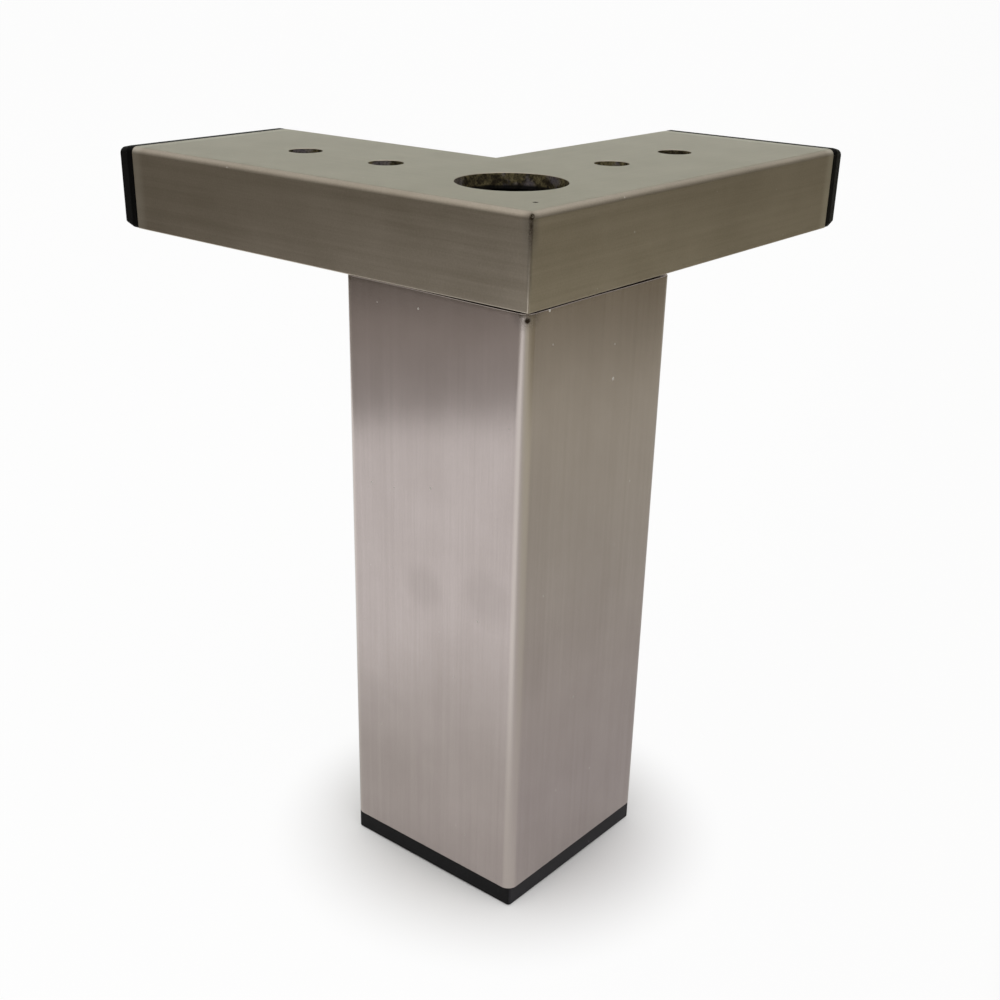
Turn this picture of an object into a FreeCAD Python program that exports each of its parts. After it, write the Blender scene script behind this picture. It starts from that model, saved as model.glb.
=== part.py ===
import FreeCAD, Part
import math
import os

# Square metal table leg with an L-shaped corner bracket of mitred flat tube.
# Millimetres. The origin is the centre of the foot's underside, on the leg's axis.
# +Z is up, the right arm runs along +X and the left arm along +Y.

# Leg: square tube on a plastic foot
leg_width = 50.0             # of each side, and of the flat tube that lies flush with it
leg_wall = 1.5
leg_corner_radius = 2.5      # vertical corners, outside
leg_end_round = 0.2          # deburred outer edge of both cut ends
leg_height = 141.0           # floor to the bracket's underside, foot included

# Bracket: two lengths of flat tube, mitred together at the leg's outer corner
arm_width = leg_width
arm_height = 19.0
arm_wall = 1.2
arm_edge_radius = 1.5        # long edges, outside
arm_length = 120.0           # outer corner to the cut end
least_inner_radius = 0.2     # inside corner of any tube, where the wall leaves less

# Holes in the bracket
access_hole_diameter = 24.0  # over the leg's axis, lets a socket reach the bolt
access_rim_depth = 2.2       # punched rim of the access hole, turned in under the wall
screw_hole_diameter = 8.0
first_screw = 61.0           # outer corner to the first screw hole
screw_pitch = 26.0
hole_edge_break = 0.25       # deburring at the mouth of each hole

# Plastic inserts
cap_flange = 5.6
cap_bevel_length = 3.6       # sloping outer part of the cap's rim
cap_bevel_drop = 0.7
cap_plug_length = 16.0
foot_flange = 5.0
foot_set_back = 0.5          # flange behind the leg's faces, level with its rounded corners
foot_corner_radius = 0.8
foot_edge_break = 0.4
foot_plug_length = 22.0
plug_wall = 1.6
plug_fit = 0.1               # fin tip to the tube's inner wall
fin_height = 0.9
fin_thickness = 1.8
fin_root = 0.5               # how far a fin's slope runs into the plug's wall
fin_count = 3

# Clamp: bolt, washer, plate and welded nut on the leg's axis
bolt_diameter = 8.0
bolt_head_flats = 13.0
bolt_head_height = 5.3
bolt_end = 2.1               # thread standing past the nut
bolt_end_chamfer = 1.0
bolt_clearance = 0.5         # round the bolt, in the bracket's wall and the plate
thread_play = 0.05           # between the bolt and the nut's bore
washer_diameter = 16.0
washer_bore_play = 0.2
washer_thickness = 1.6
nut_height = 6.8
hex_chamfer_angle = 30.0
hex_chamfer_share = 0.95     # chamfer circle on the hexagon's end, of its width across flats
plate_thickness = 4.0
plate_fit = 0.1              # plate edge to the leg's inner wall

# Places worked out from the sizes above
outer = -leg_width / 2                       # the bracket's outer faces, flush with the leg's
arm_centre = outer + arm_width / 2
arm_end = outer + arm_length
bracket_bottom = leg_height
bracket_top = leg_height + arm_height
washer_bottom = bracket_bottom + arm_wall
head_bottom = washer_bottom + washer_thickness
plate_bottom = bracket_bottom - plate_thickness
nut_bottom = plate_bottom - nut_height
leg_bore = leg_width - 2 * leg_wall
leg_bore_radius = max(leg_corner_radius - leg_wall, least_inner_radius)
arm_bore_radius = max(arm_edge_radius - arm_wall, least_inner_radius)

V = FreeCAD.Vector
origin = V(0, 0, 0)
up = V(0, 0, 1)
quarter_turn = 90


# Closed outline of a rectangle with round corners, level at height z
def rounded_rectangle(width, depth, radius, z):
    arcs = []
    for quarter, (side_x, side_y) in enumerate([(1, 1), (-1, 1), (-1, -1), (1, -1)]):
        centre = V(side_x * (width / 2 - radius), side_y * (depth / 2 - radius), z)
        start = quarter * quarter_turn
        arcs.append(Part.makeCircle(radius, centre, up, start, start + quarter_turn))
    edges = []
    for arc, following in zip(arcs, arcs[1:] + arcs[:1]):
        edges.append(arc)
        edges.append(Part.makeLine(arc.Vertexes[-1].Point, following.Vertexes[0].Point))
    return Part.Wire(edges)


# Upright bar on a rounded rectangle
def bar(width, depth, radius, z, height):
    return Part.Face(rounded_rectangle(width, depth, radius, z)).extrude(V(0, 0, height))


# Upright block with sharp corners
def block(width, depth, z, height):
    return Part.makeBox(width, depth, height, V(-width / 2, -depth / 2, z))


# Upright taper between two concentric rounded rectangles, the second one smaller by inset all round
def taper(width, depth, radius, z, inset, height):
    wide = rounded_rectangle(width, depth, radius, z)
    narrow_radius = max(radius - inset, least_inner_radius)
    narrow = rounded_rectangle(width - 2 * inset, depth - 2 * inset, narrow_radius, z + height)
    return Part.makeLoft([wide, narrow], True, True)


# Drill from the bottom of a span to its top, flared by the edge break at the ends that meet a face
def drill(diameter, x, y, bottom, top, flare_bottom, flare_top):
    radius = diameter / 2
    points = [V(0, 0, bottom), V(radius + flare_bottom, 0, bottom), V(radius, 0, bottom + flare_bottom)]
    points += [V(radius, 0, top - flare_top), V(radius + flare_top, 0, top), V(0, 0, top)]
    outline = [points[0]]
    for point in points[1:]:
        if not point.isEqual(outline[-1], 0):
            outline.append(point)
    section = Part.Face(Part.makePolygon(outline + [outline[0]]))
    cutter = section.revolve(origin, up, 360)
    cutter.translate(V(x, y, 0))
    return cutter


# Turns a shape built along +Z so that it runs along +X, with its width along Y and its depth along Z
def lay_along_x(shape):
    turned = shape.copy()
    turned.rotate(origin, V(1, 1, 1), 120)
    return turned


# Image of a right-hand piece on the left arm, across the mitre plane
def across_mitre(shape):
    return shape.mirror(origin, V(1, -1, 0))


# Right arm: tube cut to the mitre, with its screw holes and half of each hole on the leg's axis
def right_arm():
    outside = bar(arm_width, arm_height, arm_edge_radius, 0, arm_length)
    bore_width = arm_width - 2 * arm_wall
    bore_height = arm_height - 2 * arm_wall
    inside = bar(bore_width, bore_height, arm_bore_radius, 0, arm_length)
    tube = lay_along_x(outside.cut(inside))
    tube.translate(V(outer, arm_centre, bracket_bottom + arm_height / 2))
    rim_bottom = bracket_top - arm_wall - access_rim_depth
    rim = Part.makeCylinder(access_hole_diameter / 2 + arm_wall, access_rim_depth, V(0, 0, rim_bottom))
    tube = tube.fuse(rim)

    inner = outer + arm_width
    plan = [V(outer, outer, 0), V(arm_end, outer, 0), V(arm_end, inner, 0), V(inner, inner, 0)]
    mitre = Part.Face(Part.makePolygon(plan + [plan[0]])).extrude(V(0, 0, arm_height))
    mitre.translate(V(0, 0, bracket_bottom))
    arm = tube.common(mitre)

    inside_middle = bracket_bottom + arm_height / 2
    bolt_hole = bolt_diameter + 2 * bolt_clearance
    cutters = [
        drill(access_hole_diameter, 0, 0, inside_middle, bracket_top, 0, hole_edge_break),
        drill(bolt_hole, 0, 0, bracket_bottom, inside_middle, 0, 0),
    ]
    for x in (outer + first_screw, outer + first_screw + screw_pitch):
        cutters.append(drill(screw_hole_diameter, x, arm_centre, bracket_bottom, bracket_top,
                             hole_edge_break, hole_edge_break))
    for cutter in cutters:
        arm = arm.cut(cutter)
    return arm


# Leg tube from the foot's flange to the bracket, with its cut ends deburred outside
def leg():
    length = leg_height - foot_flange
    outside = bar(leg_width, leg_width, leg_corner_radius, foot_flange, length)
    rims = []
    for edge in outside.Edges:
        levels = {round(vertex.Z, 6) for vertex in edge.Vertexes}
        if len(levels) == 1:
            rims.append(edge)
    outside = outside.makeFillet(leg_end_round, rims)
    return outside.cut(bar(leg_bore, leg_bore, leg_bore_radius, foot_flange, length))


# Plastic insert standing on its flange: rim with a sloping edge, hollow plug and barbed fins
def insert(width, depth, radius, flange, bevel_length, bevel_drop, bore, plug_length):
    bore_width, bore_depth, bore_radius = bore
    rim = bar(width, depth, radius, bevel_length, flange - bevel_length)
    slope = taper(width, depth, radius, bevel_length, bevel_drop, -bevel_length)

    fin_width = bore_width - 2 * plug_fit
    fin_depth = bore_depth - 2 * plug_fit
    fin_radius = max(bore_radius - plug_fit, least_inner_radius)
    core_width = fin_width - 2 * fin_height
    core_depth = fin_depth - 2 * fin_height
    plug = block(core_width, core_depth, flange, plug_length)
    fin_pitch = plug_length / (fin_count + 1)
    for index in range(fin_count):
        z = flange + fin_pitch * (index + 1) - fin_thickness
        plug = plug.fuse(taper(fin_width, fin_depth, fin_radius, z, fin_height + fin_root, fin_thickness))
    hollow_width = core_width - 2 * plug_wall
    hollow_depth = core_depth - 2 * plug_wall
    plug = plug.cut(block(hollow_width, hollow_depth, flange, plug_length))
    return rim.fuse([slope, plug]).removeSplitter()


def right_cap():
    bore = (arm_width - 2 * arm_wall, arm_height - 2 * arm_wall, arm_bore_radius)
    cap = insert(arm_width, arm_height, arm_edge_radius, cap_flange, cap_bevel_length, cap_bevel_drop,
                 bore, cap_plug_length)
    cap.rotate(origin, V(1, 0, 0), 180)
    cap = lay_along_x(cap)
    cap.translate(V(arm_end + cap_flange, arm_centre, bracket_bottom + arm_height / 2))
    return cap


def foot():
    bore = (leg_bore, leg_bore, leg_bore_radius)
    width = leg_width - 2 * foot_set_back
    return insert(width, width, foot_corner_radius, foot_flange, foot_edge_break, foot_edge_break,
                  bore, foot_plug_length)


# Hexagonal prism with the corners of its chosen ends turned back to a cone
def hexagon(flats, bottom, height, chamfer_bottom, chamfer_top):
    corner = flats / math.sqrt(3)
    points = []
    for step in range(6):
        angle = math.tau * step / 6
        points.append(V(corner * math.cos(angle), corner * math.sin(angle), bottom))
    prism = Part.Face(Part.makePolygon(points + [points[0]])).extrude(V(0, 0, height))
    small = flats / 2 * hex_chamfer_share
    large = small + height / math.tan(math.radians(hex_chamfer_angle))
    if chamfer_top:
        prism = prism.common(Part.makeCone(large, small, height, V(0, 0, bottom)))
    if chamfer_bottom:
        prism = prism.common(Part.makeCone(small, large, height, V(0, 0, bottom)))
    return prism


# Bolt with its head inside the bracket and its thread through the plate and the nut
def bolt():
    head = hexagon(bolt_head_flats, head_bottom, bolt_head_height, False, True)
    tip = nut_bottom - bolt_end
    radius = bolt_diameter / 2
    shank = Part.makeCylinder(radius, head_bottom - tip - bolt_end_chamfer, V(0, 0, tip + bolt_end_chamfer))
    point = Part.makeCone(radius - bolt_end_chamfer, radius, bolt_end_chamfer, V(0, 0, tip))
    return head.fuse([shank, point]).removeSplitter()


def washer():
    disc = Part.makeCylinder(washer_diameter / 2, washer_thickness, V(0, 0, washer_bottom))
    bore_radius = bolt_diameter / 2 + washer_bore_play
    return disc.cut(Part.makeCylinder(bore_radius, washer_thickness, V(0, 0, washer_bottom)))


def plate():
    width = leg_bore - 2 * plate_fit
    radius = max(leg_bore_radius - plate_fit, least_inner_radius)
    blank = bar(width, width, radius, plate_bottom, plate_thickness)
    hole = drill(bolt_diameter + 2 * bolt_clearance, 0, 0, plate_bottom, bracket_bottom, 0, 0)
    return blank.cut(hole)


def nut():
    blank = hexagon(bolt_head_flats, nut_bottom, nut_height, True, True)
    bore = bolt_diameter + 2 * thread_play
    return blank.cut(drill(bore, 0, 0, nut_bottom, plate_bottom, 0, 0))


os.makedirs("parts", exist_ok=True)
arm = right_arm()
cap = right_cap()
pieces = {
    "right_arm_tube": arm,
    "left_arm_tube": across_mitre(arm),
    "right_end_cap": cap,
    "left_end_cap": across_mitre(cap),
    "leg_tube": leg(),
    "foot_insert": foot(),
    "leg_top_plate": plate(),
    "weld_nut": nut(),
    "clamp_bolt": bolt(),
    "bolt_washer": washer(),
}
for name, shape in pieces.items():
    print(name, shape.ShapeType, len(shape.Solids), shape.isValid(), round(shape.Volume, 1))
    shape.exportStep(f"parts/{name}.step")
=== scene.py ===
import bmesh
import bpy
import math
from mathutils import Matrix, Vector


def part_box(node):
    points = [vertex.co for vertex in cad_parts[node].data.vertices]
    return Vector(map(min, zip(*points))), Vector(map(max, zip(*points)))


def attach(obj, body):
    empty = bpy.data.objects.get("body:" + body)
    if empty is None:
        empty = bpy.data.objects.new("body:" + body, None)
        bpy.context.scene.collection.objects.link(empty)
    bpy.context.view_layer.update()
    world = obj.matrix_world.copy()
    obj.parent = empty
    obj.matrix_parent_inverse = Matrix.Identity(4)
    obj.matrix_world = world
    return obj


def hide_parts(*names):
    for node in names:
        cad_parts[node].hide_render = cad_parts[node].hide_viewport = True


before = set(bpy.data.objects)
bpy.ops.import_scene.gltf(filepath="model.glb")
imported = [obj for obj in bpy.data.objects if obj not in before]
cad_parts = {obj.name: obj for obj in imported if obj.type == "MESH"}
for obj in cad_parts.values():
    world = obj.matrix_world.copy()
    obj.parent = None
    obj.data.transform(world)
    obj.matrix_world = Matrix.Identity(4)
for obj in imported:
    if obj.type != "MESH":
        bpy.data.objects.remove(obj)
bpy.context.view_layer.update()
mm = 0.001
print("frame loaded:", len(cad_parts), "nodes")


# Modelling helpers

def startObject():
    if bpy.context.mode != "OBJECT":
        bpy.ops.object.mode_set(mode="OBJECT")
    bpy.ops.object.select_all(action="DESELECT")


def makeActive(piece):
    startObject()
    piece.select_set(True)
    bpy.context.view_layer.objects.active = piece


def editMode(piece):
    makeActive(piece)
    bpy.ops.object.mode_set(mode="EDIT")


def startBlock(name, low, high):                # a cube that fills the box, left in edit mode
    startObject()
    bpy.ops.mesh.primitive_cube_add(size=1, location=(low + high) / 2)
    piece = bpy.context.object
    piece.name = name
    piece.data.name = name
    piece.scale = high - low
    bpy.ops.object.transform_apply(location=True, rotation=True, scale=True)
    bpy.ops.object.mode_set(mode="EDIT")
    return piece


def pick(kind, test):                           # selects by place or normal
    bpy.ops.mesh.select_mode(type=kind)
    bpy.ops.mesh.select_all(action="DESELECT")
    data = bpy.context.object.data
    mesh = bmesh.from_edit_mesh(data)
    items = {"EDGE": mesh.edges, "FACE": mesh.faces}[kind]
    for item in items:
        if test(item):
            item.select_set(True)
    mesh.select_flush_mode()
    bmesh.update_edit_mesh(data)


def runsAlong(edge, axis):
    line = edge.verts[1].co - edge.verts[0].co
    return abs(line.normalized()[axis]) > 0.999


def middle(edge):
    return (edge.verts[0].co + edge.verts[1].co) / 2


def levelWith(edge, axis, value):               # both ends of the edge lie in that plane
    return all(abs(vert.co[axis] - value) < 1e-6 for vert in edge.verts)


def sliceOff(point, normal, fill=True):         # cuts the selected mesh and drops what lies past the plane
    bpy.ops.mesh.select_mode(type="VERT")
    bpy.ops.mesh.select_all(action="SELECT")
    bpy.ops.mesh.bisect(plane_co=point, plane_no=normal, use_fill=fill, clear_outer=True, threshold=1e-7)


def scoreLine(point, normal):                   # a line of new vertices round the mesh, nothing removed
    bpy.ops.mesh.select_mode(type="VERT")
    bpy.ops.mesh.select_all(action="SELECT")
    bpy.ops.mesh.bisect(plane_co=point, plane_no=normal, threshold=1e-7)


def applyModifier(piece, kind, **settings):
    makeActive(piece)
    modifier = piece.modifiers.new(kind.title(), kind)
    for key, value in settings.items():
        setattr(modifier, key, value)
    bpy.ops.object.modifier_apply(modifier=modifier.name)


def cutWith(piece, cutter):
    applyModifier(piece, "BOOLEAN", object=cutter, operation="DIFFERENCE", solver="EXACT")
    bpy.data.objects.remove(cutter)


def growSection(rise, widen, size):             # carries the selected end face up and out to a new size
    bpy.ops.mesh.extrude_region_move(TRANSFORM_OT_translate={"value": (0, 0, rise)})
    grown = [side + 2 * widen for side in size]
    bpy.ops.transform.resize(value=(grown[0] / size[0], grown[1] / size[1], 1))
    return grown


def drillBit(x, y, rings, sides=128):           # round cutter through rings of (height, radius), top first
    startObject()
    height, radius = rings[0]
    centre = (x, y, height)
    bpy.ops.mesh.primitive_circle_add(vertices=sides, radius=radius, fill_type="NGON", location=centre)
    bit = bpy.context.object
    bpy.ops.object.mode_set(mode="EDIT")
    bpy.ops.mesh.select_all(action="SELECT")
    for nextHeight, nextRadius in rings[1:]:
        bpy.ops.mesh.extrude_region_move(TRANSFORM_OT_translate={"value": (0, 0, nextHeight - height)})
        bpy.ops.transform.resize(value=(nextRadius / radius, nextRadius / radius, 1))
        height = nextHeight
        radius = nextRadius
    bpy.ops.mesh.select_all(action="SELECT")
    bpy.ops.mesh.normals_make_consistent(inside=False)
    bpy.ops.object.mode_set(mode="OBJECT")
    return bit


def pitCutter(place, size, turn):               # small ragged lump for a weld pit, place and size in mm
    startObject()
    bpy.ops.mesh.primitive_ico_sphere_add(subdivisions=3, radius=1, location=Vector(place) * mm)
    lump = bpy.context.object
    bpy.ops.object.mode_set(mode="EDIT")
    bpy.ops.mesh.select_all(action="SELECT")
    bpy.ops.transform.vertex_random(offset=0.12, uniform=0.6, seed=7)
    bpy.ops.object.mode_set(mode="OBJECT")
    lump.scale = Vector(size) * mm
    lump.rotation_euler = (0, 0, math.radians(turn))
    bpy.ops.object.transform_apply(location=True, rotation=True, scale=True)
    return lump


def mouthRings(top, radius, rounding, steps=5):  # rolled mouth of a hole, from above it down to its bore
    rings = [(top + 2 * rounding, radius + rounding)]
    for step in range(steps + 1):
        angle = math.radians(90) * step / steps
        height = top - rounding + rounding * math.cos(angle)
        rings.append((height, radius + rounding - rounding * math.sin(angle)))
    return rings


def smoothFinish(piece, angle=35):
    makeActive(piece)
    bpy.ops.object.shade_smooth_by_angle(angle=math.radians(angle))
    applyModifier(piece, "WEIGHTED_NORMAL", keep_sharp=True, weight=100)


def acrossMitre(piece, name):                   # own copy on the other arm, x and y exchanged
    makeActive(piece)
    bpy.ops.object.duplicate()
    copy = bpy.context.object
    copy.name = name
    copy.data.name = name
    copy.rotation_euler = (0, 0, math.radians(90))
    bpy.ops.object.transform_apply(rotation=True)
    copy.scale = (-1, 1, 1)
    bpy.ops.object.transform_apply(scale=True)
    bpy.ops.object.mode_set(mode="EDIT")
    bpy.ops.mesh.select_all(action="SELECT")
    bpy.ops.mesh.normals_make_consistent(inside=False)
    bpy.ops.object.mode_set(mode="OBJECT")
    return copy


# Leg tube

legTubeSizes = {
    "cornerRadius": 2.5 * mm,
    "wall": 1.5 * mm,
    "endRound": 0.2 * mm,
    "scoreStep": 5 * mm,
    "dipBand": 1.2 * mm,                        # strip under the upper end that takes the dips
    # dips of the sawn upper end: place in half widths, depth, reach
    "endDips": [((1, -1), 0.34 * mm, 46 * mm), ((-1, -0.7), 0.22 * mm, 27 * mm)],
    "pit": ((-24.4, -24.4, 139.5), (0.5, 0.3, 0.36), 135),   # place and size in mm, turn
}


def makeLegTube():
    low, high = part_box("leg_tube")
    half = high.x
    piece = startBlock("legTube", low, high)
    pick("EDGE", lambda edge: runsAlong(edge, 2))
    bpy.ops.mesh.bevel(offset=legTubeSizes["cornerRadius"], segments=12, affect="EDGES")
    pick("FACE", lambda face: abs(face.normal.z) > 0.5)
    bpy.ops.mesh.delete(type="FACE")
    bpy.ops.object.mode_set(mode="OBJECT")
    applyModifier(piece, "SOLIDIFY", thickness=legTubeSizes["wall"], offset=-1, use_even_offset=True)

    bpy.ops.object.mode_set(mode="EDIT")
    midWall = half - legTubeSizes["wall"] / 2
    cornerBack = half - legTubeSizes["cornerRadius"]

    def outerRim(edge):
        place = middle(edge)
        reach = Vector((max(abs(place.x) - cornerBack, 0), max(abs(place.y) - cornerBack, 0)))
        return reach.length > midWall - cornerBack

    for level in (low.z, high.z):
        pick("EDGE", lambda edge: levelWith(edge, 2, level) and outerRim(edge))
        bpy.ops.mesh.bevel(offset=legTubeSizes["endRound"], segments=5, affect="EDGES")
    step = legTubeSizes["scoreStep"]
    steps = int(cornerBack / step)
    for count in range(-steps, steps + 1):
        scoreLine((count * step, 0, 0), (1, 0, 0))
        scoreLine((0, count * step, 0), (0, 1, 0))
    scoreLine((0, 0, high.z - legTubeSizes["dipBand"]), (0, 0, 1))
    for (x, y), depth, spread in legTubeSizes["endDips"]:
        centre = Vector((x * half, y * half))
        mesh = bmesh.from_edit_mesh(piece.data)
        for vert in mesh.verts:
            if vert.co.z > high.z - legTubeSizes["dipBand"] / 2:
                away = min((vert.co.xy - centre).length / spread, 1)
                vert.co.z -= depth * (1 - away * away) ** 2
        bmesh.update_edit_mesh(piece.data)
    bpy.ops.object.mode_set(mode="OBJECT")
    cutWith(piece, pitCutter(*legTubeSizes["pit"]))
    smoothFinish(piece)
    return piece


# Bracket arms

armSizes = {
    "edgeRadius": 1.5 * mm,
    "lowerRadius": 0.25 * mm,                   # ground nearly sharp towards the leg
    "wall": 1.2 * mm,
    "endRound": 0.18 * mm,
    "accessRadius": 12 * mm,
    "rimDepth": 2.2 * mm,                       # punched rim, turned in under the wall
    "boltRadius": 4.5 * mm,
    "screwRadius": 4 * mm,
    "screwPlaces": [36 * mm, 62 * mm],          # along the arm, from the leg's axis
    "mouthRound": 0.12 * mm,
    "mitreRound": 0.45 * mm,                    # ground corner where the arms meet
    "mitreFacets": 5,
    "spare": 6 * mm,                            # length left for the mitre to cut away
    "sliver": 0.02 * mm,                        # closer than this, points are merged
    # weld pits in the right arm: place and size in mm, turn
    "pits": [((-24.5, -24.75, 159.35), (0.75, 0.4, 0.45), 20),
             ((-15.95, -18.77, 160.05), (0.42, 0.26, 0.3), 35)],
}


def makeRightArm():
    low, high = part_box("right_arm_tube")
    piece = startBlock("rightArm", low - Vector((armSizes["spare"], 0, 0)), high)
    pick("EDGE", lambda edge: runsAlong(edge, 0) and levelWith(edge, 2, high.z))
    bpy.ops.mesh.bevel(offset=armSizes["edgeRadius"], segments=10, affect="EDGES")
    pick("FACE", lambda face: abs(face.normal.x) > 0.5)
    bpy.ops.mesh.delete(type="FACE")
    bpy.ops.object.mode_set(mode="OBJECT")
    wall = armSizes["wall"]
    applyModifier(piece, "SOLIDIFY", thickness=wall, offset=-1, use_even_offset=True, use_rim=False)

    bpy.ops.object.mode_set(mode="EDIT")
    pick("EDGE", lambda edge: runsAlong(edge, 0) and levelWith(edge, 2, low.z))
    bpy.ops.mesh.bevel(offset=armSizes["lowerRadius"], segments=4, affect="EDGES")
    pick("EDGE", lambda edge: levelWith(edge, 0, high.x))
    bpy.ops.mesh.bridge_edge_loops()             # the wall's end
    centre = (low + high) / 2
    wide = high.y - centre.y - wall / 2
    tall = high.z - centre.z - wall / 2

    def outerEnd(edge):
        place = middle(edge) - centre
        return levelWith(edge, 0, high.x) and max(abs(place.y) - wide, abs(place.z) - tall) > 0

    pick("EDGE", outerEnd)
    bpy.ops.mesh.bevel(offset=armSizes["endRound"], segments=4, affect="EDGES")
    sliceOff((0, 0, 0), (-1, 1, 0), fill=False)  # the mitre
    bpy.ops.mesh.bridge_edge_loops()
    radius = armSizes["mitreRound"]
    facets = armSizes["mitreFacets"]
    for step in range(1, facets + 1):            # the ground corner, in small facets
        angle = math.radians(45) * step / facets
        normal = Vector((-math.sin(angle), -math.cos(angle), 0))
        sliceOff(Vector((low.x + radius, low.y + radius, 0)) + normal * radius, normal)
    bpy.ops.mesh.select_all(action="SELECT")
    bpy.ops.mesh.remove_doubles(threshold=armSizes["sliver"])
    bpy.ops.mesh.normals_make_consistent(inside=False)
    bpy.ops.object.mode_set(mode="OBJECT")

    outside = armSizes["accessRadius"] + wall    # punched rim, as a disc that the drill opens
    disc = drillBit(0, 0, [(high.z - wall / 2, outside), (high.z - wall - armSizes["rimDepth"], outside)])
    editMode(disc)
    sliceOff((armSizes["sliver"], 0, 0), (-1, 1, 0))
    bpy.ops.object.mode_set(mode="OBJECT")
    applyModifier(piece, "BOOLEAN", object=disc, operation="UNION", solver="EXACT")
    bpy.data.objects.remove(disc)
    return piece


def drillArm(piece, along, low, high):
    rounding = armSizes["mouthRound"]
    inside = (low.z + high.z) / 2
    rings = mouthRings(high.z, armSizes["accessRadius"], rounding)
    cutWith(piece, drillBit(0, 0, rings + [(inside, armSizes["accessRadius"])]))
    bolt = armSizes["boltRadius"]
    cutWith(piece, drillBit(0, 0, [(inside, bolt), (low.z - rounding, bolt)]))
    for place in armSizes["screwPlaces"]:
        upper = mouthRings(high.z, armSizes["screwRadius"], rounding)
        lower = [(low.z + high.z - height, width) for height, width in reversed(upper)]
        x, y = along * place
        cutWith(piece, drillBit(x, y, upper + lower))


# Plastic inserts

capSizes = {
    "flange": 5.6 * mm, "cornerRadii": (0.7 * mm, 1.5 * mm), "slope": 3.6 * mm, "slopeDrop": 0.7 * mm,
    "lipRound": 0.35 * mm, "ridgeRound": 0.2 * mm,
    "tubeWall": 1.2 * mm, "plugLength": 16 * mm,
}
footSizes = {
    "flange": 5 * mm, "cornerRadii": (0.8 * mm, 0.8 * mm), "slope": 0.4 * mm, "slopeDrop": 0.4 * mm,
    "lipRound": 0.15 * mm, "ridgeRound": 0.12 * mm,
    "tubeWall": 1.5 * mm, "plugLength": 22 * mm,
}
plugSizes = {"fit": 0.1 * mm, "finHeight": 0.9 * mm, "finSlope": 1.15 * mm, "finSetBack": 1.8 * mm,
             "finCount": 3, "wall": 1.6 * mm}


def makeInsert(name, width, depth, sizes):       # stands on its flange at the origin, plug upwards
    flange = sizes["flange"]
    low = Vector((-width / 2, -depth / 2, 0))
    piece = startBlock(name, low, Vector((width / 2, depth / 2, flange)))
    pick("FACE", lambda face: face.normal.z > 0.9)
    gap = sizes["tubeWall"] + plugSizes["fit"] + plugSizes["finHeight"]
    bpy.ops.mesh.inset(thickness=gap, use_even_offset=True)
    size = [width - 2 * gap, depth - 2 * gap]
    reached = 0
    pitch = sizes["plugLength"] / (plugSizes["finCount"] + 1)
    for index in range(plugSizes["finCount"]):   # barbed fins
        start = pitch * (index + 1) - plugSizes["finSetBack"]
        size = growSection(start - reached, 0, size)
        size = growSection(0, plugSizes["finHeight"], size)
        size = growSection(plugSizes["finSlope"], -plugSizes["finHeight"], size)
        reached = start + plugSizes["finSlope"]
    growSection(sizes["plugLength"] - reached, 0, size)
    bpy.ops.mesh.inset(thickness=plugSizes["wall"], use_even_offset=True)
    bpy.ops.mesh.extrude_region_move(TRANSFORM_OT_translate={"value": (0, 0, -sizes["plugLength"])})

    for side, radius in zip((-depth / 2, depth / 2), sizes["cornerRadii"]):
        pick("EDGE", lambda edge: runsAlong(edge, 2) and levelWith(edge, 1, side)
             and abs(middle(edge).x) > width / 2 - gap)
        bpy.ops.mesh.bevel(offset=radius, segments=8, affect="EDGES")
    scoreLine((0, 0, sizes["slope"]), (0, 0, 1))
    pick("FACE", lambda face: face.normal.z < -0.9 and face.calc_center_median().z < 1e-6)
    drop = 2 * sizes["slopeDrop"]
    bpy.ops.transform.resize(value=((width - drop) / width, (depth - drop) / depth, 1))
    rim = (width / 2 - sizes["tubeWall"] / 2, depth / 2 - sizes["tubeWall"] / 2)

    def outerRim(edge, level):
        place = middle(edge)
        outside = abs(place.x) > rim[0] or abs(place.y) > rim[1]
        upright = any(abs(face.normal.z) < 0.7 for face in edge.link_faces)
        return outside and upright and levelWith(edge, 2, level)

    pick("EDGE", lambda edge: levelWith(edge, 2, 0))
    bpy.ops.mesh.bevel(offset=sizes["lipRound"], segments=3, affect="EDGES")
    for level in (sizes["slope"], flange):
        pick("EDGE", lambda edge: outerRim(edge, level))
        bpy.ops.mesh.bevel(offset=sizes["ridgeRound"], segments=3, affect="EDGES")
    bpy.ops.mesh.select_all(action="SELECT")
    bpy.ops.mesh.normals_make_consistent(inside=False)
    bpy.ops.object.mode_set(mode="OBJECT")
    return piece


def makeRightCap():
    low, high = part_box("right_end_cap")
    piece = makeInsert("rightCap", high.y - low.y, high.z - low.z, capSizes)
    turn = Matrix(((0, 0, -1), (-1, 0, 0), (0, 1, 0))).to_4x4()
    place = Matrix.Translation((high.x, (low.y + high.y) / 2, (low.z + high.z) / 2))
    piece.matrix_world = place @ turn
    makeActive(piece)
    bpy.ops.object.transform_apply(location=True, rotation=True, scale=True)
    return piece


def makeFoot():
    low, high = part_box("foot_insert")
    return makeInsert("foot", high.x - low.x, high.y - low.y, footSizes)


# Shader helpers

class Wire:                                      # a node's output that takes part in sums
    def __init__(self, finish, socket):
        self.finish = finish
        self.socket = socket

    def sum(self, operation, first, second):
        return self.finish.add("ShaderNodeMath", {"operation": operation}, {0: first, 1: second})

    def __add__(self, other):
        return self.sum("ADD", self, other)

    def __sub__(self, other):
        return self.sum("SUBTRACT", self, other)

    def __rsub__(self, other):
        return self.sum("SUBTRACT", other, self)

    def __mul__(self, other):
        return self.sum("MULTIPLY", self, other)

    def __lt__(self, other):
        return self.sum("LESS_THAN", self, other)

    __radd__ = __add__


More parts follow.
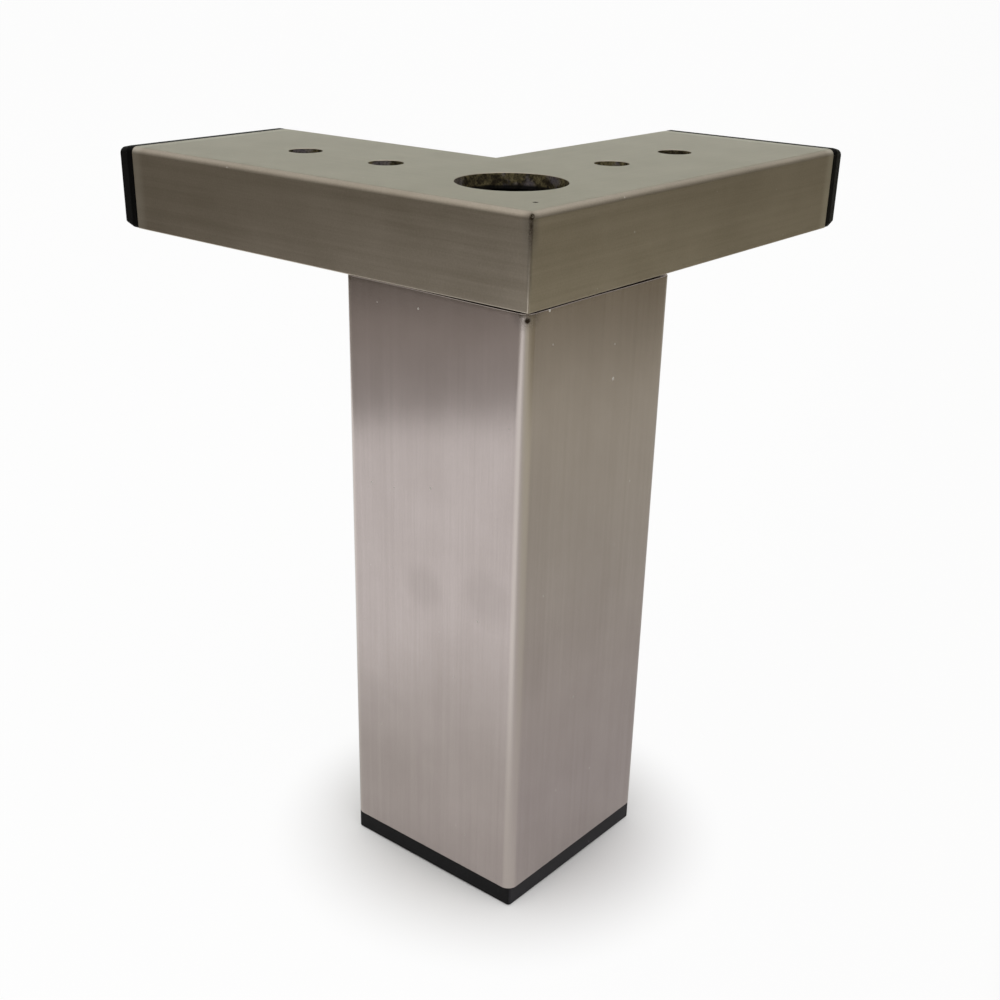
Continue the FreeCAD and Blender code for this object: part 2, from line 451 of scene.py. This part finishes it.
class Finish:                                    # the nodes of a material or of the sky
    def __init__(self, owner, place="Object"):
        self.owner = owner
        owner.use_nodes = True
        self.nodes = owner.node_tree.nodes
        self.links = owner.node_tree.links
        self.nodes.clear()
        self.place = self.add("ShaderNodeTexCoord", {}, {}, place)

    def add(self, kind, settings, values, output=0):
        node = self.nodes.new(kind)
        for key, value in settings.items():
            if key == "stops":
                self.setStops(node.color_ramp, value)
            else:
                setattr(node, key, value)
        for key, value in values.items():
            if isinstance(value, Wire):
                self.links.new(value.socket, node.inputs[key])
            else:
                node.inputs[key].default_value = value
        return Wire(self, node.outputs[output]) if node.outputs else node

    def setStops(self, ramp, stops):
        while len(ramp.elements) < len(stops):
            ramp.elements.new(1)
        for element, (position, colour) in zip(ramp.elements, stops):
            element.position = position
            element.color = colour

    def noise(self, scale, detail=2, roughness=0.5, shift=(0, 0, 0)):   # features per mm along x, y, z
        perMetre = [value / mm for value in scale]
        mapping = {"Vector": self.place, "Scale": perMetre, "Location": shift}
        place = self.add("ShaderNodeMapping", {}, mapping)
        return self.add("ShaderNodeTexNoise", {}, {"Vector": place, "Scale": 1, "Detail": detail,
                                                   "Roughness": roughness}, "Fac")

    def ramp(self, value, low, high):            # 0 below low, 1 above high, smooth between
        settings = {"interpolation_type": "SMOOTHSTEP", "clamp": True}
        return self.add("ShaderNodeMapRange", settings, {"Value": value, "From Min": low, "From Max": high})

    def vector(self, operation, *vectors):       # vector maths that gives a number
        return self.add("ShaderNodeVectorMath", {"operation": operation}, dict(enumerate(vectors)), "Value")

    def dot(self, direction):                    # distance along a direction, in metres
        return self.vector("DOT_PRODUCT", self.place, direction)

    def blend(self, share, first, second):
        return self.add("ShaderNodeMix", {"data_type": "RGBA"}, {0: share, 6: first, 7: second}, 2)

    def specks(self, cell, size, chosen):        # round dots on random places, cell and size in mm
        place = self.add("ShaderNodeMapping", {}, {"Vector": self.place, "Scale": [1 / (cell * mm)] * 3})
        node = self.add("ShaderNodeTexVoronoi", {}, {"Vector": place, "Scale": 1}, "Distance")
        tint = Wire(self, node.socket.node.outputs["Color"])
        pickOne = self.add("ShaderNodeSeparateColor", {}, {0: tint}, 0)
        spread = Wire(self, pickOne.socket.node.outputs[1])
        radius = (0.5 + spread) * (size / cell)
        return (node < radius) * (pickOne < chosen)

    def bump(self, height, depth, strength=1.0):
        return self.add("ShaderNodeBump", {}, {"Height": height, "Distance": depth, "Strength": strength})

    def close(self, values):                     # principled shader to the output
        shader = self.add("ShaderNodeBsdfPrincipled", {}, values)
        self.add("ShaderNodeOutputMaterial", {}, {"Surface": shader})
        return self.owner


def shade(red, green, blue):                     # colour as seen on screen, 0 to 255
    linear = []
    for value in (red, green, blue):
        part = value / 255
        linear.append(part / 12.92 if part <= 0.04045 else ((part + 0.055) / 1.055) ** 2.4)
    return (*linear, 1)


# Finishes

legLook = {
    "light": shade(196, 186, 183), "dark": shade(176, 166, 162),
    "dust": shade(218, 215, 210), "burntAndShaded": shade(62, 52, 42), "paintedSheen": shade(202, 193, 187),
    "roughness": 0.2, "anisotropy": 0.85, "grit": 0.75,
    "cornerShine": 0.8,                          # painted highlight along the tube's corners
    # darkened round the pit, painted shade at the corner's top under the bracket, and faint marks: place and
    # reach in mm, strength
    "marks": [((-24.4, -24.4, 139.5), 0.85, 0.9), ((-24.4, -24.4, 141.0), 4.5, 0.3),
              ((-25.0, 2.0, 75.0), 7.0, 0.08), ((-25.0, -16.0, 78.0), 9.0, 0.09)],
    "smudge": 0.0, "endShine": 0.0,
}
armLook = {
    "light": shade(199, 190, 177), "dark": shade(167, 158, 143),
    "dust": shade(218, 215, 208), "burntAndShaded": shade(58, 49, 37), "paintedSheen": shade(222, 217, 206),
    "roughness": 0.32, "anisotropy": 0.0, "grit": 1.0,
    "cornerShine": 0.0,
    "marks": [((-24.6, -24.8, 159.3), 0.9, 0.4), ((-15.95, -18.77, 160.0), 0.75, 1.6)],
    "smudge": 0.65, "endShine": 0.5,             # weld stain up the mitred corner, and painted sheen on the wall's end
}
brushSizes = {
    "fine": (5.0, 0.06), "coarse": (0.9, 0.012),  # streaks per mm, across and along the brushing
    "grain": 2.2, "cloud": 0.05,                 # per mm
    "cornerBand": (33.6 * mm, 34.2 * mm),        # rounded corners, from the leg's axis
    "endBand": (90.8 * mm, 93.6 * mm),           # along an arm, beside its cap
    "outerCorner": (-25 * mm, -25 * mm),         # of the bracket, where the mitre starts
    "edgeStain": (0.2 * mm, 0.9 * mm), "edgeHeights": (142 * mm, 149 * mm),
    "patchStain": (0.4 * mm, 3.2 * mm), "patchHeights": (149 * mm, 158 * mm),
    "bumpDepth": 0.012 * mm,
}


def brushedMetal(name, grainAxis, look):
    finish = Finish(bpy.data.materials.new(name))
    grit = look["grit"]

    def streaks(kind):                           # long along the grain
        across, along = brushSizes[kind]
        return [along if axis == grainAxis else across for axis in range(3)]

    streak = finish.noise(streaks("fine"), 3, 0.6)
    band = finish.noise(streaks("coarse"), 2, 0.5, (3, 1, 2))
    grain = finish.noise([brushSizes["grain"]] * 3, 4, 0.7, (5, 5, 2))
    cloud = finish.noise([brushSizes["cloud"]] * 3, 4, 0.6, (7, 2, 5))
    spots = finish.specks(4.5, 0.2, 0.45) * 0.7 + finish.specks(11.0, 0.3, 0.5)

    mixed = cloud * 0.4 + band * 0.25 + streak * 0.2 + grain * grit * 0.4
    colour = finish.blend(finish.ramp(mixed, 0.32, 0.72 + 0.2 * grit), look["dark"], look["light"])

    # Painted highlight on the corners and painted sheen on the ends
    flat = {0: finish.place, 1: (1, 1, 0)}
    plan = finish.add("ShaderNodeVectorMath", {"operation": "MULTIPLY"}, flat, "Vector")
    fromAxis = finish.vector("LENGTH", plan)
    along = finish.dot([float(axis == grainAxis) for axis in range(3)])
    paintedSheen = finish.ramp(fromAxis, *brushSizes["cornerBand"]) * look["cornerShine"]
    paintedSheen = paintedSheen + finish.ramp(along, *brushSizes["endBand"]) * look["endShine"] * (0.5 + cloud)
    colour = finish.blend(paintedSheen, colour, look["paintedSheen"])

    # Weld stain at the mitre and round the arm's pits; on the leg, darkening round the pit and painted shade
    # at the corner's top
    height = finish.dot((0, 0, 1))
    fromCorner = finish.dot((1, 1, 0)) - sum(brushSizes["outerCorner"])
    edge = 1 - finish.ramp(fromCorner, *brushSizes["edgeStain"])
    edge = edge * finish.ramp(height, *brushSizes["edgeHeights"]) * 0.55
    patch = 1 - finish.ramp(fromCorner, *brushSizes["patchStain"])
    patch = patch * finish.ramp(height, *brushSizes["patchHeights"])
    burnAndShade = (edge + patch * grain * 1.5) * look["smudge"]
    for place, reach, strength in look["marks"]:
        spot = Vector(place) * mm
        away = finish.vector("DISTANCE", finish.place, spot)
        burnAndShade = burnAndShade + (1 - finish.ramp(away, reach * 0.3 * mm, reach * mm)) * strength * grain * 2
    colour = finish.blend(burnAndShade, colour, look["burntAndShaded"])

    colour = finish.blend(spots * 0.85, colour, look["dust"])
    rough = look["roughness"] + (streak - 0.5) * 0.08 + (band - 0.5) * 0.05 + (grain - 0.5) * 0.12 * grit
    rough = rough + spots * 0.4 + burnAndShade * 0.3
    normal = finish.bump(streak * 0.5 + band * 0.4 + grain * grit * 1.2, brushSizes["bumpDepth"], 0.35)
    return finish.close({"Base Color": colour, "Metallic": 1 - spots, "Roughness": rough, "Normal": normal,
                         "Anisotropic": look["anisotropy"]})


stainedAndShadedLook = {
    "dark": shade(46, 39, 26), "light": shade(122, 113, 82), "violet": shade(122, 116, 122),
    "scale": shade(22, 18, 13), "paintedShade": shade(4, 4, 3),
    "rimBand": (157.1 * mm, 157.7 * mm),         # painted shade in the bore below the punched rim
}


def stainedAndShadedSteel():                              # unground inside of the bracket, heat-stained at the weld, with painted shade down the bore
    finish = Finish(bpy.data.materials.new("stainedAndShadedInside"))
    blotch = finish.noise([0.55] * 3, 5, 0.7)
    grit = finish.noise([2.2] * 3, 4, 0.7, (4, 4, 1))
    violet = finish.ramp(finish.noise([0.2] * 3, 3, 0.5, (9, 3, 3)), 0.5, 0.62)
    colour = finish.blend(finish.ramp(blotch, 0.38, 0.66), stainedAndShadedLook["dark"], stainedAndShadedLook["light"])
    colour = finish.blend(violet * 0.6, colour, stainedAndShadedLook["violet"])
    colour = finish.blend(finish.ramp(grit, 0.48, 0.66) * 0.8, colour, stainedAndShadedLook["scale"])
    # painted shade: near black down the bore below the punched rim
    height = finish.dot((0, 0, 1))
    paintedShade = 1 - finish.ramp(height, *stainedAndShadedLook["rimBand"])
    colour = finish.blend(paintedShade * 0.95, colour, stainedAndShadedLook["paintedShade"])
    normal = finish.bump(blotch + grit * 0.6, 0.12 * mm, 0.6)
    return finish.close({"Base Color": colour, "Metallic": 0.1, "Roughness": 0.5 + grit * 0.3,
                         "Normal": normal, "Specular IOR Level": 0.15})


capLook = {
    "dark": shade(4, 4, 5), "light": shade(13, 13, 14),
    "scuff": shade(30, 30, 32), "dust": shade(150, 150, 148),
    "grooveShade": shade(2, 2, 2), "grooveShadeBand": (96.7 * mm, 97.0 * mm),   # shaded strip beside the tube
    "shine": 0.06,
}
footLook = {
    "dark": shade(6, 6, 7), "light": shade(18, 18, 20),
    "scuff": shade(47, 46, 50), "dust": shade(150, 150, 148),
    "paleSide": 0.9, "paleSideBand": (24.1 * mm, 24.4 * mm),   # paler on the side below the right arm's outer face
    "shine": 0.15,
}


def blackPlastic(name, look, outwards=None):     # a cap's strip of painted shade lies square to the way it points
    finish = Finish(bpy.data.materials.new(name))
    grain = finish.noise([4.0] * 3, 3, 0.6)
    cloud = finish.noise([0.12] * 3, 3, 0.5, (2, 6, 1))
    scuff = finish.ramp(finish.noise([1.3] * 3, 4, 0.65, (5, 1, 8)), 0.56, 0.7)
    dust = finish.specks(2.4, 0.13, 0.35)
    colour = finish.blend(finish.ramp(cloud * 0.5 + grain * 0.5, 0.3, 0.7), look["dark"], look["light"])
    pale = scuff * 0.5
    if "paleSide" in look:
        # paler on the side below the right arm's outer face
        side = finish.ramp(finish.dot((0, -1, 0)), *look["paleSideBand"])
        pale = pale + side * look["paleSide"] * (0.3 + grain)
    colour = finish.blend(pale, colour, look["scuff"])
    colour = finish.blend(dust * 0.5, colour, look["dust"])
    if outwards:
        # painted shade on the cap's flat strip beside the tube
        grooveShade = 1 - finish.ramp(finish.dot(outwards), *look["grooveShadeBand"])
        colour = finish.blend(grooveShade, colour, look["grooveShade"])
    rough = 0.5 + (grain - 0.5) * 0.25 + scuff * 0.12
    normal = finish.bump(grain + dust * 0.4, 0.05 * mm, 0.5)
    return finish.close({"Base Color": colour, "Roughness": rough, "Normal": normal,
                         "Specular IOR Level": look["shine"]})


plateLook = {"light": shade(168, 160, 150), "dark": shade(128, 120, 110), "roughness": 0.45}
zincLook = {"light": shade(214, 214, 216), "dark": shade(178, 178, 182), "roughness": 0.32}


def plainSteel(name, look):
    finish = Finish(bpy.data.materials.new(name))
    cloud = finish.noise([0.12] * 3, 4, 0.6)
    grain = finish.noise([3.0] * 3, 3, 0.6, (3, 3, 3))
    colour = finish.blend(finish.ramp(cloud * 0.7 + grain * 0.3, 0.35, 0.65), look["dark"], look["light"])
    normal = finish.bump(grain, 0.02 * mm, 0.4)
    rough = look["roughness"] + (grain - 0.5) * 0.2
    return finish.close({"Base Color": colour, "Metallic": 1.0, "Roughness": rough, "Normal": normal})


legFinish = brushedMetal("brushedLeg", 2, legLook)
rightFinish = brushedMetal("brushedRightArm", 0, armLook)
leftFinish = brushedMetal("brushedLeftArm", 1, armLook)
insideFinish = stainedAndShadedSteel()
rightPlastic = blackPlastic("rightCapPlastic", capLook, (1, 0, 0))
leftPlastic = blackPlastic("leftCapPlastic", capLook, (0, 1, 0))
footPlastic = blackPlastic("footPlastic", footLook)
plateFinish = plainSteel("millSteel", plateLook)
zincFinish = plainSteel("zincPlate", zincLook)
print("finishes made")


# Assembly of the looks

def dress(piece, node, slot, *finishes):
    piece.data.materials.clear()
    for finish in finishes:
        piece.data.materials.append(finish)
    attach(piece, "root")
    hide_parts(node)


def stainInside(piece, low, high, across):       # second finish on the faces within the tube's bore
    margin = armSizes["wall"] / 2
    editMode(piece)

    def within(face):
        place = face.calc_center_median()
        sides = low[across] + margin < place[across] < high[across] - margin
        return sides and low.z + margin < place.z < high.z - margin

    pick("FACE", within)
    piece.active_material_index = 1
    bpy.ops.object.material_slot_assign()
    bpy.ops.object.mode_set(mode="OBJECT")


legTube = makeLegTube()
dress(legTube, "leg_tube", "brushed_tube", legFinish)
print("leg tube made")

armLow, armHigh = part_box("right_arm_tube")
rightArm = makeRightArm()
leftArm = acrossMitre(rightArm, "leftArm")
drillArm(rightArm, Vector((1, 0)), armLow, armHigh)
drillArm(leftArm, Vector((0, 1)), armLow, armHigh)
for pit in armSizes["pits"]:
    cutWith(rightArm, pitCutter(*pit))
for arm in (rightArm, leftArm):
    smoothFinish(arm)
dress(rightArm, "right_arm_tube", "brushed_tube", rightFinish, insideFinish)
dress(leftArm, "left_arm_tube", "brushed_tube", leftFinish, insideFinish)
stainInside(rightArm, armLow, armHigh, 1)
leftLow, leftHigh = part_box("left_arm_tube")
stainInside(leftArm, leftLow, leftHigh, 0)
print("bracket arms made")

rightCap = makeRightCap()
leftCap = acrossMitre(rightCap, "leftCap")
foot = makeFoot()
inserts = [(rightCap, "right_end_cap", rightPlastic), (leftCap, "left_end_cap", leftPlastic),
           (foot, "foot_insert", footPlastic)]
for insert, node, finish in inserts:
    smoothFinish(insert)
    dress(insert, node, "black_plastic", finish)
print("plastic inserts made")

innerPieces = {"leg_top_plate": plateFinish, "weld_nut": zincFinish, "clamp_bolt": zincFinish,
               "bolt_washer": zincFinish}
for node, finish in innerPieces.items():
    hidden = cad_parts[node]
    hidden.data.materials.clear()
    hidden.data.materials.append(finish)
print("inner pieces dressed")


# Camera, fitted to the photograph's edges

cameraSizes = {
    "place": Vector((-228.0, -182.6, 205.8)) * mm,
    "azimuth": -49.87, "elevation": 25.20, "roll": 0.90,
    "focalPixels": 1366.2, "framePixels": 1000, "sensorWidth": 36,
    "shift": (0.030, 0.080),
}


def makeCamera():
    azimuth = math.radians(cameraSizes["azimuth"])
    elevation = math.radians(cameraSizes["elevation"])
    roll = math.radians(cameraSizes["roll"])
    back = Vector((math.sin(azimuth) * math.cos(elevation), -math.cos(azimuth) * math.cos(elevation),
                   math.sin(elevation)))
    level = Vector((math.cos(azimuth), math.sin(azimuth), 0))
    upright = back.cross(level)
    right = level * math.cos(roll) + upright * math.sin(roll)
    up = upright * math.cos(roll) - level * math.sin(roll)
    data = bpy.data.cameras.new("photoCamera")
    data.sensor_width = cameraSizes["sensorWidth"]
    data.lens = cameraSizes["focalPixels"] * cameraSizes["sensorWidth"] / cameraSizes["framePixels"]
    data.shift_x, data.shift_y = cameraSizes["shift"]
    data.clip_start = 0.01
    camera = bpy.data.objects.new("photoCamera", data)
    bpy.context.scene.collection.objects.link(camera)
    turn = Matrix((right, up, back)).transposed().to_4x4()
    camera.matrix_world = Matrix.Translation(cameraSizes["place"]) @ turn
    bpy.context.scene.camera = camera


makeCamera()
print("camera set")


# Stage: a white sheet with painted shade that runs along the view and sweeps up behind, on a pale warm floor
# painted darker away from the leg

stageSizes = {
    "sheetLeft": -0.351, "sheetRight": 1.1, "sheetFront": -0.95,
    "sweepStart": 0.40, "sweepRadius": 0.14, "sweepTop": 0.42,
    "floorReach": 3.0, "floorDrop": 0.5 * mm,
    # clean white, as mirrored and as seen: share, start from the leg's axis, end to the right and upwards
    "whiteShare": 0.97, "whiteFrom": (0.06, 0.17), "whiteSide": (-0.03, 0.07), "whiteTop": (0.18, 0.21),
    "seenShare": 0.95, "seenFrom": (0.02, 0.06), "seenSide": (0.12, 0.15),
    # painted shade at distances in metres, outside the picture: the leg's shadow and a dimmer side to the
    # right, a tint up the sweep, and a darkening over the floor
    "sheetTurn": 21,                             # degrees from the view's right to the way the tones run
    "sheetTones": [(0.0, shade(238, 239, 240)), (0.05, shade(215, 214, 217)), (0.1, shade(211, 210, 209)),
                   (0.16, shade(208, 208, 202)), (0.21, shade(205, 205, 196)), (0.33, shade(208, 207, 194)),
                   (0.5, shade(145, 138, 116))],
    "sweepTones": [(0.18, shade(255, 255, 255)), (0.27, shade(240, 250, 236))],
    "floorTones": [(0.42, shade(186, 184, 184)), (0.54, shade(182, 176, 172)), (0.68, shade(70, 63, 51)),
                   (0.95, shade(92, 84, 66))],
}
ahead = math.radians(cameraSizes["azimuth"] + 90)   # plan direction in which the camera looks


def tones(finish, distance, stops):
    return finish.add("ShaderNodeValToRGB", {"stops": stops}, {0: distance})


def floorWithPaintedShade():
    finish = Finish(bpy.data.materials.new("floorWithPaintedShade"))
    away = finish.vector("LENGTH", finish.place)
    cloud = finish.noise([0.01] * 3, 2)
    # painted shade: the floor darkens away from the leg
    mixed = finish.blend(cloud * 0.1, tones(finish, away, stageSizes["floorTones"]), shade(255, 255, 255))
    return finish.close({"Base Color": mixed, "Roughness": 0.9})


def paperWithPaintedShade():
    finish = Finish(bpy.data.materials.new("paperWithPaintedShade"))
    turn = ahead - math.radians(stageSizes["sheetTurn"])
    sideways = finish.dot((math.sin(turn), -math.cos(turn), 0))
    height = finish.dot((0, 0, 1))
    away = finish.vector("LENGTH", finish.place)
    # painted shade: the sheet darkens to the right, for the leg's shadow and a dimmer side, and takes a tint
    # up the sweep
    colour = tones(finish, sideways, stageSizes["sheetTones"])
    above = tones(finish, height, stageSizes["sweepTones"])
    multiply = {"data_type": "RGBA", "blend_type": "MULTIPLY"}
    colour = finish.add("ShaderNodeMix", multiply, {0: 1.0, 6: colour, 7: above}, 2)
    cloud = finish.noise([0.01] * 3, 2)
    colour = finish.blend(cloud * 0.05, colour, shade(255, 255, 255))

    # Clean white where the picture sees the sheet, fading towards the leg so that the shadow stays
    below = 1 - finish.ramp(height, *stageSizes["whiteTop"])
    within = (1 - finish.ramp(sideways, *stageSizes["whiteSide"])) * below
    share = finish.ramp(away, *stageSizes["whiteFrom"]) * within * stageSizes["whiteShare"]
    pictured = (1 - finish.ramp(sideways, *stageSizes["seenSide"])) * below
    seen = finish.ramp(away, *stageSizes["seenFrom"]) * pictured * stageSizes["seenShare"]
    path = finish.add("ShaderNodeLightPath", {}, {}, "Is Camera Ray")
    glossy = Wire(finish, path.socket.node.outputs["Is Glossy Ray"])
    through = Wire(finish, path.socket.node.outputs["Is Transmission Ray"])
    paper = finish.add("ShaderNodeBsdfPrincipled", {}, {"Base Color": colour, "Roughness": 0.9})
    white = finish.add("ShaderNodeEmission", {}, {"Color": (1, 1, 1, 1), "Strength": 1.0})
    clean = path * seen + (glossy + through) * share
    mixed = finish.add("ShaderNodeMixShader", {}, {0: clean, 1: paper, 2: white})
    finish.add("ShaderNodeOutputMaterial", {}, {"Surface": mixed})
    return finish.owner


def onStage(name, finish):
    piece = bpy.context.object
    piece.name = name
    piece.data.materials.append(finish)


def makeStage():
    startObject()
    reach = stageSizes["floorReach"]
    bpy.ops.mesh.primitive_plane_add(size=2 * reach, location=(0, 0, -stageSizes["floorDrop"]))
    onStage("floor", floorWithPaintedShade())

    startObject()
    front, start = stageSizes["sheetFront"], stageSizes["sweepStart"]
    left, right = stageSizes["sheetLeft"], stageSizes["sheetRight"]
    bpy.ops.mesh.primitive_plane_add(size=1, location=((front + start) / 2, -(left + right) / 2, 0))
    sheet = bpy.context.object
    sheet.scale = (start - front, right - left, 1)
    bpy.ops.object.transform_apply(location=True, rotation=True, scale=True)
    bpy.ops.object.mode_set(mode="EDIT")
    pick("EDGE", lambda edge: levelWith(edge, 0, start))
    radius = stageSizes["sweepRadius"]
    bpy.ops.mesh.spin(steps=16, angle=math.radians(90), center=(start, 0, radius), axis=(0, 1, 0))
    rise = (0, 0, stageSizes["sweepTop"] - radius)
    bpy.ops.mesh.extrude_region_move(TRANSFORM_OT_translate={"value": rise})
    bpy.ops.object.mode_set(mode="OBJECT")
    sheet.rotation_euler = (0, 0, ahead)
    bpy.ops.object.transform_apply(rotation=True)
    onStage("sheet", paperWithPaintedShade())
    bpy.ops.object.shade_smooth()


makeStage()
print("stage set")


# Soft studio light

lightSizes = {                                   # places along the view, to its right and up
    "key": {"place": (-0.45, -0.25, 0.95), "aim": (0.1, 0, 0), "size": (0.9, 1.0), "watts": 1.8},
    "fill": {"place": (-0.4, 0.45, 0.95), "aim": (0.2, 0.1, 0), "size": (0.8, 0.8), "watts": 1.7},
}
skyLook = {                                      # tones from the horizon up
    "strength": 0.98,
    "tones": [(0.0, (0.2, 0.19, 0.17, 1)), (0.25, (0.34, 0.325, 0.3, 1)), (0.7, (0.78, 0.76, 0.73, 1))],
}


def onView(along, right, up):                    # stage place from distances along the view and to its right
    return Vector((along * math.cos(ahead) + right * math.sin(ahead),
                   along * math.sin(ahead) - right * math.cos(ahead), up))


def makeLamps():
    for name, sizes in lightSizes.items():
        data = bpy.data.lights.new(name, "AREA")
        data.shape = "RECTANGLE"
        data.size, data.size_y = sizes["size"]
        data.energy = sizes["watts"]
        lamp = bpy.data.objects.new(name, data)
        bpy.context.scene.collection.objects.link(lamp)
        lamp.location = onView(*sizes["place"])
        lamp.rotation_euler = (onView(*sizes["aim"]) - lamp.location).to_track_quat("-Z", "Y").to_euler()


def makeSky():
    world = bpy.data.worlds.new("studio")
    bpy.context.scene.world = world
    sky = Finish(world, "Generated")
    colour = tones(sky, sky.dot((0, 0, 1)), skyLook["tones"])
    light = sky.add("ShaderNodeBackground", {}, {"Color": colour, "Strength": skyLook["strength"]})
    sky.add("ShaderNodeOutputWorld", {}, {"Surface": light})


makeLamps()
makeSky()
bpy.context.scene.view_settings.view_transform = "Standard"
print("light set")
